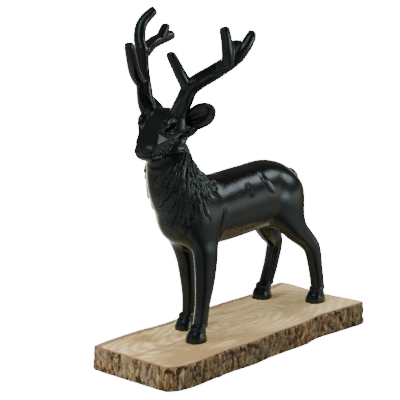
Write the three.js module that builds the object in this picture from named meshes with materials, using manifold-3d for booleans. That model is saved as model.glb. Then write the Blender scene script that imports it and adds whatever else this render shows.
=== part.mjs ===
// Deer figure: a stag cast in metal and lacquered black, standing on a slice of log that keeps its bark.
// Millimetres, +Z up. The origin is on the underside, at the middle of the slice. The stag looks along -Y,
// so its left side is towards +X.
import * as THREE from "three";
import { mergeVertices } from "three/addons/utils/BufferGeometryUtils.js";
import Module from "manifold-3d";

// Driving dimensions of the slice of log.
const SLAB_LENGTH = 241;
const SLAB_WIDTH = 96; // across its widest part
const SLAB_THICKNESS = 20;
const BARK_RELIEF = 2.8; // how far the bark's plates stand out of its fissures
const BARK_PLATE = 12.5; // usual width of one plate along the edge
const BARK_SLOPE = 1.8; // how far the bark leans in by the time it reaches the sawn top
const BARK_RAGGED = 1.8; // how far the bark's lower edge is broken away above the underside

// Driving dimensions of the stag. Its pattern is drawn at PATTERN_HEIGHT, hooves to antler tips, and the
// casting is that pattern at STAG_HEIGHT.
const STAG_HEIGHT = 254;
const PATTERN_HEIGHT = 254;
const STAG_OFFSET_X = -5; // the stag stands a little to its right of the slice's middle
const HOOF_CLEFT = 1.5; // width of the cleft between the two toes
const MANE_ROWS = 7; // rows of locks from the jaw down to the breast
const MANE_LOCKS = 15; // locks in a row, right round the neck
const LOCK_HEIGHT = 2.1; // how far the tip of a lock stands out of the neck
const MANE_LOW = 0.3; // where the mane ends on the neck, as a share of its line from the shoulders up
const MANE_HIGH = 0.93; // where the mane starts, below the jaw
const MANE_SWEEP = 0.08; // turn of the locks towards the nape, in radians
const SHIN_RINGS = 4; // rings of facets down each shin
const NET_CELL = 5.9; // spacing of the net that the body's skin is drawn on
const MELT = 7; // how softly the limbs run into the trunk
const GROUND_SPAN = 400; // of the block that cuts the hooves flat
const GROUND_DEPTH = 40;

const wasm = await Module();
wasm.setup();

// A closed geometry as a solid that can be joined and cut.
function solidOf(geometry) {
  const bare = geometry.index ? geometry.toNonIndexed() : geometry;
  const corners = new THREE.BufferGeometry().setAttribute("position", bare.getAttribute("position"));
  const merged = mergeVertices(corners, 1e-4);
  const mesh = new wasm.Mesh({
    numProp: 3,
    vertProperties: merged.attributes.position.array,
    triVerts: new Uint32Array(merged.index.array),
  });
  return new wasm.Manifold(mesh);
}

// The joined solid as a geometry again, with flat facets. A casting has no bubbles, so the small pockets
// that are sealed in where its parts meet are filled.
function geometryOf(solid) {
  const mesh = solid.getMesh();
  const at = (id) => new THREE.Vector3().fromArray(mesh.vertProperties, id * mesh.numProp);
  const shellOf = shellsOf(mesh.numVert, mesh.triVerts);
  const volume = new Map();
  const corners = [];
  for (let t = 0; t < mesh.triVerts.length; t += 3) {
    const [a, b, c] = [0, 1, 2].map((k) => at(mesh.triVerts[t + k]));
    const shell = shellOf(mesh.triVerts[t]);
    volume.set(shell, (volume.get(shell) ?? 0) + a.dot(b.clone().cross(c)) / 6);
    corners.push({ shell, points: [a, b, c] });
  }
  const facingOut = corners.filter(({ shell }) => volume.get(shell) > 0);
  const flat = new THREE.BufferGeometry().setFromPoints(facingOut.flatMap(({ points }) => points));
  flat.computeVertexNormals();
  return flat;
}

// Which shell of a mesh each vertex belongs to: vertices joined by triangles share one.
function shellsOf(count, triangles) {
  const parent = Uint32Array.from({ length: count }, (_, i) => i);
  const find = (i) => {
    while (parent[i] !== i) i = parent[i] = parent[parent[i]];
    return i;
  };
  for (let t = 0; t < triangles.length; t += 3) {
    parent[find(triangles[t + 1])] = find(triangles[t]);
    parent[find(triangles[t + 2])] = find(triangles[t]);
  }
  return find;
}

// A geometry with these numbers as its triangles' corners.
function geometryWith(position) {
  return new THREE.BufferGeometry().setAttribute("position", new THREE.Float32BufferAttribute(position, 3));
}

// Skin over rings of points. Its ends are closed round a middle point, unless they are left open.
function skin(rings, closed = true) {
  const count = rings[0].length;
  const position = [];
  const put = (...points) => points.forEach((p) => position.push(p.x, p.y, p.z));
  const middle = (ring) => ring.reduce((sum, p) => sum.add(p), new THREE.Vector3()).divideScalar(count);
  for (let r = 0; r + 1 < rings.length; r++) {
    for (let i = 0; i < count; i++) {
      const j = (i + 1) % count;
      put(rings[r][i], rings[r][j], rings[r + 1][j]);
      put(rings[r][i], rings[r + 1][j], rings[r + 1][i]);
    }
  }
  const last = rings[rings.length - 1];
  for (let i = 0; closed && i < count; i++) {
    const j = (i + 1) % count;
    put(rings[0][j], rings[0][i], middle(rings[0]));
    put(last[i], last[j], middle(last));
  }
  return geometryWith(position);
}

// The smooth line through these points.
function smoothLine(points, closed = false) {
  return new THREE.CatmullRomCurve3(points.map((p) => new THREE.Vector3(...p)), closed, "catmullrom");
}

// A limb's own smooth line. Each station is [x, y, z, half width across, half depth], and the section at t
// is an ellipse square to the line, with its width along `across`.
class Limb {
  constructor(stations, across = [1, 0, 0]) {
    this.spans = stations.length - 1;
    this.line = smoothLine(stations.map(([x, y, z]) => [x, y, z]));
    this.sizes = smoothLine(stations.map(([, , , a, b]) => [a, b ?? a, 0]));
    this.across = new THREE.Vector3(...across);
  }

  frame(t) {
    const along = this.line.getTangent(t);
    const across = this.across.clone().addScaledVector(along, -this.across.dot(along)).normalize();
    return { along, across, deep: along.clone().cross(across) };
  }

  // The surface point at t along the limb and angle round it, from its wide side.
  point(t, angle, proud = 0) {
    const { across, deep } = this.frame(t);
    const size = this.sizes.getPoint(t);
    return this.line
      .getPoint(t)
      .addScaledVector(across, (size.x + proud) * Math.cos(angle))
      .addScaledVector(deep, (size.y + proud) * Math.sin(angle));
  }

  solid(sides, steps) {
    const rings = [];
    for (let s = 0; s <= this.spans * steps; s++) {
      const t = s / (this.spans * steps);
      rings.push(Array.from({ length: sides }, (_, i) => this.point(t, (2 * Math.PI * i) / sides)));
    }
    return solidOf(skin(rings));
  }
}

// An ellipsoid of flesh or bone, turned by its tilt about X and yaw about Z.
function lump([x, y, z], [a, b, c], tilt = 0, yaw = 0, detail = 8) {
  const ball = new THREE.SphereGeometry(1, detail, Math.ceil(detail * 0.7)).scale(a, b, c);
  ball.rotateX(tilt).rotateZ(yaw).translate(x, y, z);
  return solidOf(ball);
}

const join = (solids) => solids.reduce((all, one) => all.add(one));

// Signed distance from p to a limb, near its skin: radial in the section, with a rounded end past each end.
function limbField(stations, samples = 5) {
  const limb = new Limb(stations);
  const count = limb.spans * samples;
  const knots = Array.from({ length: count + 1 }, (_, i) => {
    const t = i / count;
    return { at: limb.line.getPoint(t), size: limb.sizes.getPoint(t), ...limb.frame(t) };
  });
  const span = new THREE.Vector3();
  const offset = new THREE.Vector3();
  return (p) => {
    let nearest = Infinity;
    for (let i = 0; i < count; i++) {
      const from = knots[i];
      const to = knots[i + 1];
      span.subVectors(to.at, from.at);
      offset.subVectors(p, from.at);
      const share = THREE.MathUtils.clamp(offset.dot(span) / span.lengthSq(), 0, 1);
      offset.addScaledVector(span, -share);
      const a = THREE.MathUtils.lerp(from.size.x, to.size.x, share);
      const b = THREE.MathUtils.lerp(from.size.y, to.size.y, share);
      const scaled = Math.hypot(
        offset.dot(from.across) / a,
        offset.dot(from.deep) / b,
        offset.dot(from.along) / Math.min(a, b),
      );
      const reach = offset.length();
      nearest = Math.min(nearest, scaled < 1e-3 ? -Math.min(a, b) : reach - reach / scaled);
    }
    return nearest;
  };
}

// Signed distance to an ellipsoid with its middle at (x, y, z), tilted about X.
function lumpField([x, y, z], [a, b, c], tilt = 0) {
  const middle = new THREE.Vector3(x, y, z);
  const turn = new THREE.Quaternion().setFromAxisAngle(new THREE.Vector3(1, 0, 0), -tilt);
  const offset = new THREE.Vector3();
  return (p) => {
    offset.subVectors(p, middle).applyQuaternion(turn);
    const scaled = Math.hypot(offset.x / a, offset.y / b, offset.z / c);
    const reach = offset.length();
    return scaled < 1e-3 ? -Math.min(a, b, c) : reach - reach / scaled;
  };
}

// Fields melted together, as soft as `blend` millimetres where they meet.
function melted(fields, blend) {
  return (p) =>
    fields.reduce((sum, field) => {
      const next = field(p);
      const near = Math.max(blend - Math.abs(sum - next), 0) / blend;
      return Math.min(sum, next) - (near * near * blend) / 4;
    }, 1e3);
}

// The way out of a field at p, as a unit vector, and the field's slope there.
function wayOut(p, field) {
  const step = 0.05;
  const here = field(p);
  const slope = new THREE.Vector3(
    field(new THREE.Vector3(p.x + step, p.y, p.z)) - here,
    field(new THREE.Vector3(p.x, p.y + step, p.z)) - here,
    field(new THREE.Vector3(p.x, p.y, p.z + step)) - here,
  ).divideScalar(step);
  const steepness = Math.max(slope.length(), 0.5);
  return { here, steepness, out: slope.normalize() };
}

// Moves p along the field's slope until it stands `proud` of the skin.
function ontoSkin(p, field, proud = 0) {
  for (let pull = 0; pull < 3; pull++) {
    const { here, steepness, out } = wayOut(p, field);
    p.addScaledVector(out, (proud - here) / steepness);
  }
  return p;
}

// The skin where a field is zero, as one net of quads: a vertex in each cell that the skin crosses, drawn
// onto the skin itself, and a quad round each grid edge that it crosses.
function netSkin(field, low, high, cell) {
  const size = [0, 1, 2].map((k) => Math.ceil((high[k] - low[k]) / cell) + 1);
  const index = (i, j, k) => i + size[0] * (j + size[1] * k);
  const values = new Float32Array(size[0] * size[1] * size[2]);
  const p = new THREE.Vector3();
  for (let k = 0; k < size[2]; k++) {
    for (let j = 0; j < size[1]; j++) {
      for (let i = 0; i < size[0]; i++) {
        values[index(i, j, k)] = field(p.set(low[0] + i * cell, low[1] + j * cell, low[2] + k * cell));
      }
    }
  }
  const corners = [0, 1, 2, 3, 4, 5, 6, 7].map((c) => [c & 1, (c >> 1) & 1, c >> 2]);
  const ends = (c) => [1, 2, 4].filter((bit) => !(c & bit)).map((bit) => [c, c + bit]);
  const edges = [0, 1, 2, 3, 4, 5, 6].flatMap(ends);
  const vertices = [];
  const cellVertex = new Map();
  for (let k = 0; k + 1 < size[2]; k++) {
    for (let j = 0; j + 1 < size[1]; j++) {
      for (let i = 0; i + 1 < size[0]; i++) {
        const at = corners.map(([x, y, z]) => values[index(i + x, j + y, k + z)]);
        if (at.every((v) => v < 0) || at.every((v) => v >= 0)) continue;
        const middle = new THREE.Vector3();
        let crossings = 0;
        for (const [from, to] of edges) {
          if (at[from] < 0 === at[to] < 0) continue;
          const share = at[from] / (at[from] - at[to]);
          const start = new THREE.Vector3(...corners[from]);
          middle.add(start.lerp(new THREE.Vector3(...corners[to]), share));
          crossings++;
        }
        middle.divideScalar(crossings).add(new THREE.Vector3(i, j, k));
        middle.multiplyScalar(cell).add(new THREE.Vector3(...low));
        ontoSkin(middle, field);
        cellVertex.set(index(i, j, k), vertices.length);
        vertices.push(middle);
      }
    }
  }
  const rings = [];
  const quad = (ring, flip) => rings.push((flip ? ring.reverse() : ring).map((id) => cellVertex.get(id)));
  for (let k = 1; k + 1 < size[2]; k++) {
    for (let j = 1; j + 1 < size[1]; j++) {
      for (let i = 1; i + 1 < size[0]; i++) {
        const inside = values[index(i, j, k)] < 0;
        if (inside !== values[index(i + 1, j, k)] < 0) {
          quad([index(i, j - 1, k - 1), index(i, j, k - 1), index(i, j, k), index(i, j - 1, k)], !inside);
        }
        if (inside !== values[index(i, j + 1, k)] < 0) {
          quad([index(i - 1, j, k - 1), index(i - 1, j, k), index(i, j, k), index(i, j, k - 1)], !inside);
        }
        if (inside !== values[index(i, j, k + 1)] < 0) {
          quad([index(i - 1, j - 1, k), index(i, j - 1, k), index(i, j, k), index(i - 1, j, k)], !inside);
        }
      }
    }
  }
  relax(vertices, rings, field);
  const position = [];
  for (const ring of rings) {
    const [a, b, c, d] = ring.map((id) => vertices[id]);
    const halves = a.distanceTo(c) < b.distanceTo(d) ? [a, b, c, a, c, d] : [b, c, d, b, d, a];
    halves.forEach((v) => position.push(v.x, v.y, v.z));
  }
  return geometryWith(position);
}

// Evens out the net: each vertex moves to the middle of its neighbours and back onto the skin.
function relax(vertices, rings, field) {
  for (let round = 0; round < 5; round++) {
    const sums = vertices.map(() => ({ sum: new THREE.Vector3(), count: 0 }));
    for (const ring of rings) {
      ring.forEach((id, i) => {
        sums[id].sum.add(vertices[ring[(i + 1) % 4]]).add(vertices[ring[(i + 3) % 4]]);
        sums[id].count += 2;
      });
    }
    vertices.forEach((v, id) => {
      v.lerp(sums[id].sum.divideScalar(sums[id].count), 0.6);
      ontoSkin(v, field);
    });
  }
}

// Trunk, from the breast to the rump: [x, y, z, half width, half height].
const TRUNK = [
  [0, -63, 94, 12, 11.5],
  [0, -57, 93.5, 18, 17.5],
  [0, -44, 95, 21, 24],
  [0, -26, 96.5, 21.5, 27],
  [0, -6, 97.4, 21, 28.2],
  [0, 18, 98.4, 20.5, 28.2],
  [0, 40, 99.4, 20.5, 27.8],
  [0, 57, 97, 19, 24.5],
  [0, 70.5, 92, 13, 18],
];

// Neck, from between the shoulders to the skull: [x, y, z, half width, half depth].
const NECK = [
  [0, -38, 96, 18, 22],
  [0, -52, 107, 20.5, 25],
  [0, -63, 121, 20, 23],
  [0, -70, 137, 18, 18],
  [0, -71, 151, 15.5, 13.5],
  [0, -68, 162, 11, 10],
];

// Head, from the back of the skull down to the nose: [y, z] of the face's line, [y, z] of the jaw's line,
// half width at the face and half width at the jaw.
const HEAD = [
  [[-58, 177], [-58, 160], 8, 8],
  [[-67, 183.5], [-64, 153], 13, 11],
  [[-77, 183], [-72, 149], 15, 11],
  [[-85.5, 175.5], [-79, 147.5], 16, 9.5],
  [[-91.5, 168.5], [-84.5, 146.6], 13.2, 8.8],
  [[-95, 161.5], [-89, 146], 11.2, 8.6],
  [[-98, 156], [-94, 146], 9.9, 8],
  [[-99.5, 153], [-97.5, 148.5], 8.4, 6.4],
];
const HEAD_SQUARE = 0.66; // 1 is an oval section, and less is squarer

// Legs, each down to its fetlock, with the middle of its hoof on the slice.
const LEGS = [
  {
    line: [
      [9, -47, 88, 10, 17.5], [15, -46.3, 74, 8.7, 12.3], [16.3, -46.5, 60, 7.6, 10.6],
      [17.4, -47.9, 44, 6.8, 8.5], [17.2, -49.9, 28, 5.5, 6.6], [16.5, -52.8, 12, 5.5, 6.2],
    ],
    hoof: [16, -56],
  },
  {
    line: [
      [-9, -44, 88, 10, 18], [-11, -41, 74, 9.5, 13], [-11.5, -38, 60, 8, 9.5],
      [-11.5, -37, 44, 6.8, 7.6], [-12, -36, 28, 5.8, 6.2], [-12.5, -35.5, 12, 5.2, 5.6],
    ],
    hoof: [-13, -37],
  },
  {
    line: [
      [9, 55, 96, 12, 21], [12, 59, 81, 11.5, 16], [14, 67, 67, 9.2, 10.8], [15.5, 79, 56, 7, 8.4],
      [16.5, 86.5, 46.5, 6.4, 7.8], [17.5, 90.3, 28, 5.8, 6.6], [17.5, 93.3, 12, 5.7, 6.2],
    ],
    hoof: [17, 92.3],
  },
  {
    line: [
      [-9, 54, 96, 12, 21], [-12, 58, 80, 11.5, 17], [-16, 68, 64, 9.4, 12], [-20, 79, 53, 7.2, 9],
      [-22, 83.5, 45, 6.4, 7.8], [-23, 80.3, 28, 6, 7], [-24, 75, 12, 5.8, 6.4],
    ],
    hoof: [-24, 71],
  },
];

// Shoulder blades, haunches and withers, as [middle], [half sizes], tilt.
const MUSCLES = [
  [[12.5, -45, 92], [9.5, 16, 22], 0.25],
  [[-12.5, -42, 92], [9.5, 16, 22], 0.25],
  [[12, 55, 92], [10.5, 18.3, 22], -0.2],
  [[-12, 53, 92], [10.5, 18.3, 22], -0.2],
  [[0, -30, 116], [9, 18, 9], -0.2],
];

// Opposite corners of the box that the body's net is drawn in.
const NET_LOW = [-40, -100, -8];
const NET_HIGH = [36, 108, 176];

const thighs = LEGS.map(({ line }) => limbField(line.slice(0, -2)));
const muscles = MUSCLES.map((muscle) => lumpField(...muscle));
const flesh = melted([limbField(TRUNK), limbField(NECK), ...thighs, ...muscles], MELT);
const body = solidOf(netSkin(flesh, NET_LOW, NET_HIGH, NET_CELL));

// The shin below the knee or hock, which is the last part of a leg's line that is drawn with the trunk.
function shin(line) {
  const leg = new Limb(line);
  const knee = (line.length - 3) / (line.length - 1);
  const rings = [];
  for (let i = 0; i <= SHIN_RINGS; i++) {
    const t = THREE.MathUtils.lerp(knee - 0.05, 1, i / SHIN_RINGS);
    const sunk = i === 0 ? -1.5 : 0;
    rings.push(Array.from({ length: 10 }, (_, k) => leg.point(t, (2 * Math.PI * k) / 10, sunk)));
  }
  return solidOf(skin(rings));
}

// A cloven hoof that stands on the slice at x, y.
function hoofAt([x, y]) {
  const wall = new Limb([
    [x, y + 1.5, 14, 5, 5.4],
    [x, y + 0.8, 10.5, 6.4, 6.8],
    [x, y, 7.5, 7, 7.6],
    [x, y - 1.4, -1, 8, 9.2],
  ]).solid(12, 1);
  const cleft = new THREE.ConeGeometry(HOOF_CLEFT, 13, 4).translate(x, y - 9.4, 4);
  return wall.subtract(solidOf(cleft));
}

// Antlers, one list for each beam or tine from its root to its blunt tip: [x, y, z, radius].
const ANTLERS = [
  [
    [11, -72, 174, 7], [13, -72, 184, 6.8], [17, -71, 192, 6.6], [19.5, -68.5, 200, 6.4],
    [24, -64, 205.5, 6.4], [31, -57, 211.3, 6.2], [38, -52, 216.8, 6], [45, -47, 223, 5.6],
    [49.5, -41, 230.5, 4.8], [51.3, -36, 238.5, 4.2], [51.2, -34, 243, 2.6],
  ],
  [
    [18.4, -70.5, 203, 5], [17, -75, 211, 4.6], [15.2, -78, 218, 4.2], [12.8, -81.2, 226, 3.7],
    [12.4, -81.8, 228.5, 2.2],
  ],
  [
    [43, -52, 219, 5], [44.5, -54, 228, 4.6], [44, -55, 238, 4.3], [43, -56, 245.4, 3.9],
    [42.8, -56.2, 247.4, 2.2],
  ],
  [
    [-10, -76, 174, 6.8], [-15, -79, 186, 6.6], [-20, -76, 197, 6.2], [-27.5, -70, 206, 5.8],
    [-35, -63, 215, 5.7], [-41, -57, 223, 5.4],
  ],
  [
    [-22, -74, 198, 4.8], [-21, -84, 208, 4.6], [-17.8, -91, 219, 4.4], [-16.3, -95.5, 232, 3.8],
    [-16.2, -96, 234.4, 2.2],
  ],
  [
    [-39, -58, 221, 5], [-44, -56, 232, 4.8], [-45.4, -51, 243, 4.5], [-42, -42.5, 251.5, 3.8],
    [-41, -41, 253, 2.2],
  ],
  [
    [-39, -56, 221, 5.2], [-44, -42, 226, 4.9], [-45.5, -30, 228.5, 4.7], [-45.8, -18.5, 230.2, 3.9],
    [-45.8, -16, 230.6, 2.4],
  ],
  [[-44, -33, 228, 4.4], [-46.4, -25.5, 235, 3.9], [-47, -23, 238, 3.4], [-47.2, -22.4, 239.4, 2]],
];
const ANTLER_ACROSS = [0.3, 1, 0];
const tines = ANTLERS.map((stations) => new Limb(stations, ANTLER_ACROSS).solid(8, 1));

// The thin palm between the last two points of the left antler: middle, half sizes, tilt, yaw.
const PALM = [[47, -47.5, 228], [2.8, 9, 9.5], 0, -0.385];

// One ear, hollowed in front. `side` is 1 on the left and -1 on the right.
function ear(side) {
  const width = [-side * 0.5, -0.3, 0.8];
  const leaf = new Limb([
    [side * 10, -63, 171, 5, 4],
    [side * 14.5, -62, 173.5, 7.8, 4.6],
    [side * 20.3, -61.5, 177.2, 9, 4.8],
    [side * 27.2, -61, 181.2, 9.2, 4.4],
    [side * 33.2, -60.5, 184.6, 6.8, 3],
    [side * 36.8, -60, 186.4, 2.8, 1.5],
  ], width).solid(12, 1);
  const hollow = new Limb([
    [side * 15, -67, 174, 2.4, 2],
    [side * 20.3, -66.5, 177.7, 6.2, 4],
    [side * 27.2, -66, 182.2, 6.8, 4.4],
    [side * 32.2, -64.8, 185.2, 4.2, 3],
    [side * 34.8, -64, 186.6, 1.2, 1.2],
  ], width).solid(8, 1);
  return leaf.subtract(hollow);
}

// The head's own solid: squarish sections square to its middle plane.
function headSolid(sides, steps) {
  const spans = HEAD.length - 1;
  const face = smoothLine(HEAD.map(([[y, z]]) => [0, y, z]));
  const jaw = smoothLine(HEAD.map(([, [y, z]]) => [0, y, z]));
  const widths = smoothLine(HEAD.map(([, , top, bottom]) => [top, bottom, 0]));
  const soft = (v) => Math.sign(v) * Math.abs(v) ** HEAD_SQUARE;
  const rings = [];
  for (let s = 0; s <= spans * steps; s++) {
    const t = s / (spans * steps);
    const top = face.getPoint(t);
    const bottom = jaw.getPoint(t);
    const width = widths.getPoint(t);
    rings.push(
      Array.from({ length: sides }, (_, i) => {
        const angle = (2 * Math.PI * (i + 0.5)) / sides;
        const up = (soft(Math.sin(angle)) + 1) / 2;
        const point = bottom.clone().lerp(top, up);
        point.x = soft(Math.cos(angle)) * THREE.MathUtils.lerp(width.y, width.x, up);
        return point;
      }),
    );
  }
  return solidOf(skin(rings));
}

// The gullet, and a brow ridge, a cheek and an eye on each side of the head.
const FACE = [
  lump([0, -81, 151.5], [10, 9.5, 5], 0.1),
  ...[1, -1].flatMap((side) => [
    lump([side * 12.6, -86.2, 175], [3.4, 7, 2.8], 0.5, side * -0.3),
    lump([side * 10, -68, 158], [5, 9, 8], 0.3),
    lump([side * 12.4, -83, 168.9], [2, 3.2, 2.2], 0.4, side * -0.3, 6),
  ]),
];

// Nostrils and the line of the mouth, cut out of the muzzle.
const FACE_CUTS = [
  lump([4.6, -100.4, 153], [1.7, 2.4, 1.2], 0.6, 0.5, 6),
  lump([-4.6, -100.4, 153], [1.7, 2.4, 1.2], 0.6, -0.5, 6),
  lump([0, -97, 149.9], [11, 6, 0.7], 0.12),
];

// Short tail, laid along the rump.
const TAIL = [
  [0, 68, 113.5, 4.6, 4],
  [0, 76, 111.8, 4.6, 3.6],
  [0, 82.5, 107.2, 3.6, 2.6],
  [0, 85.5, 102, 1.4, 1.2],
];
const tail = new Limb(TAIL).solid(8, 2);

// The mane: rows of locks laid on the neck from behind the jaw down to the breast, each row half a lock on
// from the one above. A row starts flush with the skin and rises to its locks' tips, and it gives out
// towards the middle of the throat.
function maneCoat() {
  const line = new Limb(NECK);
  const sides = MANE_LOCKS * 2;
  const rings = [];
  for (let row = 0; row < MANE_ROWS; row++) {
    for (const [share, rise] of [[0.06, 0], [0.94, 1]]) {
      const t = MANE_LOW + (MANE_HIGH - MANE_LOW) * (1 - (row + share) / MANE_ROWS);
      const ring = Array.from({ length: sides }, (_, i) => {
        const angle = (2 * Math.PI * (i + (row % 2))) / sides;
        const bare = THREE.MathUtils.smoothstep(Math.sin(angle), -0.8, -0.1);
        const crest = i % 2 ? 1 : 0.15;
        const sweep = rise * Math.cos(angle) * MANE_SWEEP;
        const start = line.point(t - crest * rise * 0.03, angle + sweep);
        return ontoSkin(start, flesh, 0.3 + LOCK_HEIGHT * rise * crest * bare);
      });
      rings.push(ring);
    }
  }
  return solidOf(skin(rings.reverse()));
}

// Everything under the soles, to cut the hooves flat.
const block = new THREE.BoxGeometry(GROUND_SPAN, GROUND_SPAN, GROUND_DEPTH);
const ground = solidOf(block.translate(0, 0, -GROUND_DEPTH / 2));

const shanks = LEGS.flatMap(({ line, hoof }) => [shin(line), hoofAt(hoof)]);
const head = [headSolid(14, 2), ...FACE, ear(1), ear(-1)];
const whole = join([body, maneCoat(), ...head, tail, ...shanks, ...tines, lump(...PALM)]);
const figure = whole.subtract(join([...FACE_CUTS, ground]));

// Outline of the slice's top, anticlockwise from the stag's left front corner, as shares of its width and
// length: one end is squarer, and the long sides wander as the log grew.
const OUTLINE = [
  [0.32, -0.5], [0.4, -0.492], [0.458, -0.452], [0.479, -0.386], [0.467, -0.29], [0.463, -0.2],
  [0.479, -0.104], [0.458, 0], [0.463, 0.16], [0.43, 0.25], [0.443, 0.332], [0.458, 0.415],
  [0.464, 0.475], [0.396, 0.494], [0, 0.482], [-0.43, 0.497], [-0.505, 0.455], [-0.458, 0.324],
  [-0.469, 0.1], [-0.434, -0.15], [-0.458, -0.31], [-0.438, -0.47], [-0.385, -0.497], [-0.1, -0.5],
];

// The slice: flat sawn faces, and bark all round it in upright plates parted by fissures. The bark is
// ragged below, and the sawn top has a narrow rim where it meets the bark.
function logSlice() {
  const outline = OUTLINE.map(([x, y]) => new THREE.Vector3(x * SLAB_WIDTH, y * SLAB_LENGTH, 0));
  const edge = new THREE.CatmullRomCurve3(outline, true);
  const plates = Math.round(edge.getLength() / BARK_PLATE);
  const uneven = (i) => 0.5 + 0.3 * Math.sin(2.4 * i + 1) + 0.2 * Math.sin(5.3 * i);
  const widths = Array.from({ length: plates }, (_, i) => 0.6 + 0.8 * uneven(i));
  const total = widths.reduce((sum, w) => sum + w, 0);
  const knots = [];
  let passed = 0;
  widths.forEach((w, i) => {
    const depth = -BARK_RELIEF * (0.35 + 0.65 * uneven(i + 7));
    const lift = BARK_RAGGED * uneven(3 * i);
    knots.push({ u: passed / total, off: depth, lift: BARK_RAGGED });
    knots.push({ u: (passed + 0.15 * w) / total, off: 0.6 * uneven(i), lift });
    knots.push({ u: (passed + 0.85 * w) / total, off: 0.9 * uneven(i + 3), lift: lift * uneven(i + 5) });
    passed += w;
  });
  const level = (height, share, inset) =>
    knots.map(({ u, off, lift }) => {
      const along = edge.getTangentAt(u);
      const out = new THREE.Vector3(along.y, -along.x, 0);
      const point = edge.getPointAt(u).addScaledVector(out, off * share - inset);
      return point.setZ(height(lift));
    });
  const rings = [
    level(() => 0, 0.5, 2.5),
    level((lift) => 0.4 + lift, 1, 0.2),
    level(() => SLAB_THICKNESS - BARK_SLOPE / 2, 1, BARK_SLOPE / 2),
    level(() => SLAB_THICKNESS, 0.5, BARK_SLOPE),
  ];
  const flat = (ring, up) => {
    const faces = THREE.ShapeUtils.triangulateShape(ring.map((p) => new THREE.Vector2(p.x, p.y)), []);
    return faces.flatMap(([a, b, c]) => (up ? [a, b, c] : [a, c, b]).flatMap((k) => ring[k].toArray()));
  };
  const walls = skin(rings, false).getAttribute("position").array;
  return geometryOf(solidOf(geometryWith([...walls, ...flat(rings[0], false), ...flat(rings[3], true)])));
}

const size = STAG_HEIGHT / PATTERN_HEIGHT;
const placed = geometryOf(figure).scale(size, size, size);

const lacquer = new THREE.MeshStandardMaterial({ color: 0x17181a, roughness: 0.35, metalness: 0.2 });
const stag = new THREE.Mesh(placed, lacquer);
stag.name = "stag_casting";
stag.position.set(STAG_OFFSET_X, 0, SLAB_THICKNESS);

const wood = new THREE.MeshStandardMaterial({ color: 0xc3a880, roughness: 0.8 });
const slab = new THREE.Mesh(logSlice(), wood);
slab.name = "log_slice";

const model = new THREE.Group();
model.add(slab, stag);

export default model;
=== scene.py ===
# Deer figure: a stag cast in metal and lacquered black, on a slice of log that keeps its bark.
# Metres, +Z up. The stag looks along -Y, so its left side is towards +X. Tables are in millimetres, in the
# stag's own frame: its hooves stand at height 0 and its middle plane is x = 0.
import math
from contextlib import contextmanager

import bpy
import numpy as np
from mathutils import Matrix, Vector, noise
from numpy.linalg import norm


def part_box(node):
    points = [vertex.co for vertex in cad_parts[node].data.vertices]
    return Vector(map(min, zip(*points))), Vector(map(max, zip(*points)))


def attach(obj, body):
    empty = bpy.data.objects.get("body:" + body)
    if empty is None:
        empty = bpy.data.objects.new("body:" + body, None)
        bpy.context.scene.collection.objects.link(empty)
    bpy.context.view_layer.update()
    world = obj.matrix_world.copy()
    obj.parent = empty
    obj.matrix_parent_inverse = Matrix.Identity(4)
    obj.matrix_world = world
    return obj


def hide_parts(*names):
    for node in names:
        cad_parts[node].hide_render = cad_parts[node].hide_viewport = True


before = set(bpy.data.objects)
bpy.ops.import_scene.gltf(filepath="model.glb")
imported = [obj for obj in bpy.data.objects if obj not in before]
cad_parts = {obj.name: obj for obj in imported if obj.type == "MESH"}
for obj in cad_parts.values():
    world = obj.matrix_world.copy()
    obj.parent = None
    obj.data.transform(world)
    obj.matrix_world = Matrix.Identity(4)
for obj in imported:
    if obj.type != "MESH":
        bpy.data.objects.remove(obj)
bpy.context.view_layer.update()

MM = 0.001
SLICE_LOW, SLICE_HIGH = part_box("log_slice")
STAG_PLACE = Vector((-5 * MM, 0, SLICE_HIGH.z))  # where the stag's own frame stands on the slice

# Camera, where the photograph was taken from.
CAMERA_AT = (0.82826, -0.95879, 0.41364)
CAMERA_AIM = (-0.02022, -0.01824, 0.12135)
CAMERA_LENS = 147.37

# Studio: a white floor, and a room that is dark above and lit in a band low on the left.
FIGURE_MIDDLE = Vector((0, 0, 0.12))
FLOOR_GLOW = 16.0
ROOM_BY_HEIGHT = [  # (height of the way looked, brightness)
    (-1, 0.9), (-0.6, 0.75), (-0.4, 0.5), (-0.29, 0.33), (-0.17, 0.45), (-0.09, 0.95), (0.06, 0.95),
    (0.14, 0.14), (1, 0.12),
]
ROOM_BAND_WAY = (0.848, 0.53, 0)
ROOM_BY_TURN = [  # (share of the way looked that is along ROOM_BAND_WAY, brightness)
    (-1, 0.8), (0, 0.8), (0.15, 1.1), (0.3, 0.8), (0.46, 0.2), (0.66, 0.25), (0.86, 1.2), (1, 1.8),
]
ROOM_RIM_WAY = (-0.905, 0.381, -0.199)  # the bright wall behind, that edges turned from the light pick up
ROOM_RIM = [(-1, 0), (0.9, 0), (0.975, 2.2), (1, 3.4)]
ROOM_COLOUR = (1.14, 1.06, 0.86)
WHITE, WARM, WARMER = (1, 1, 1), (1, 0.97, 0.92), (1, 0.95, 0.9)
LIGHTS = [  # name, way to it, distance, width, height, brightness, colour, lights matt and glossy surfaces
    ("key", (0.46, 0.73, 0.51), 2.2, 0.85, 0.5, 6, WARMER, True, True),
    ("window", (0.2, -0.62, 0.75), 2.2, 1.2, 0.6, 3.2, WHITE, True, True),
    ("card", (0.94, 0.33, 0.13), 0.7, 0.24, 0.24, 5, WHITE, False, True),
    ("top", (0.05, -0.2, 1), 2.2, 2.0, 2.0, 6.6, WARM, True, False),
    ("front", (-0.35, -0.9, 0.3), 2.4, 1.6, 1.2, 8, WARM, True, False),
]

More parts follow.
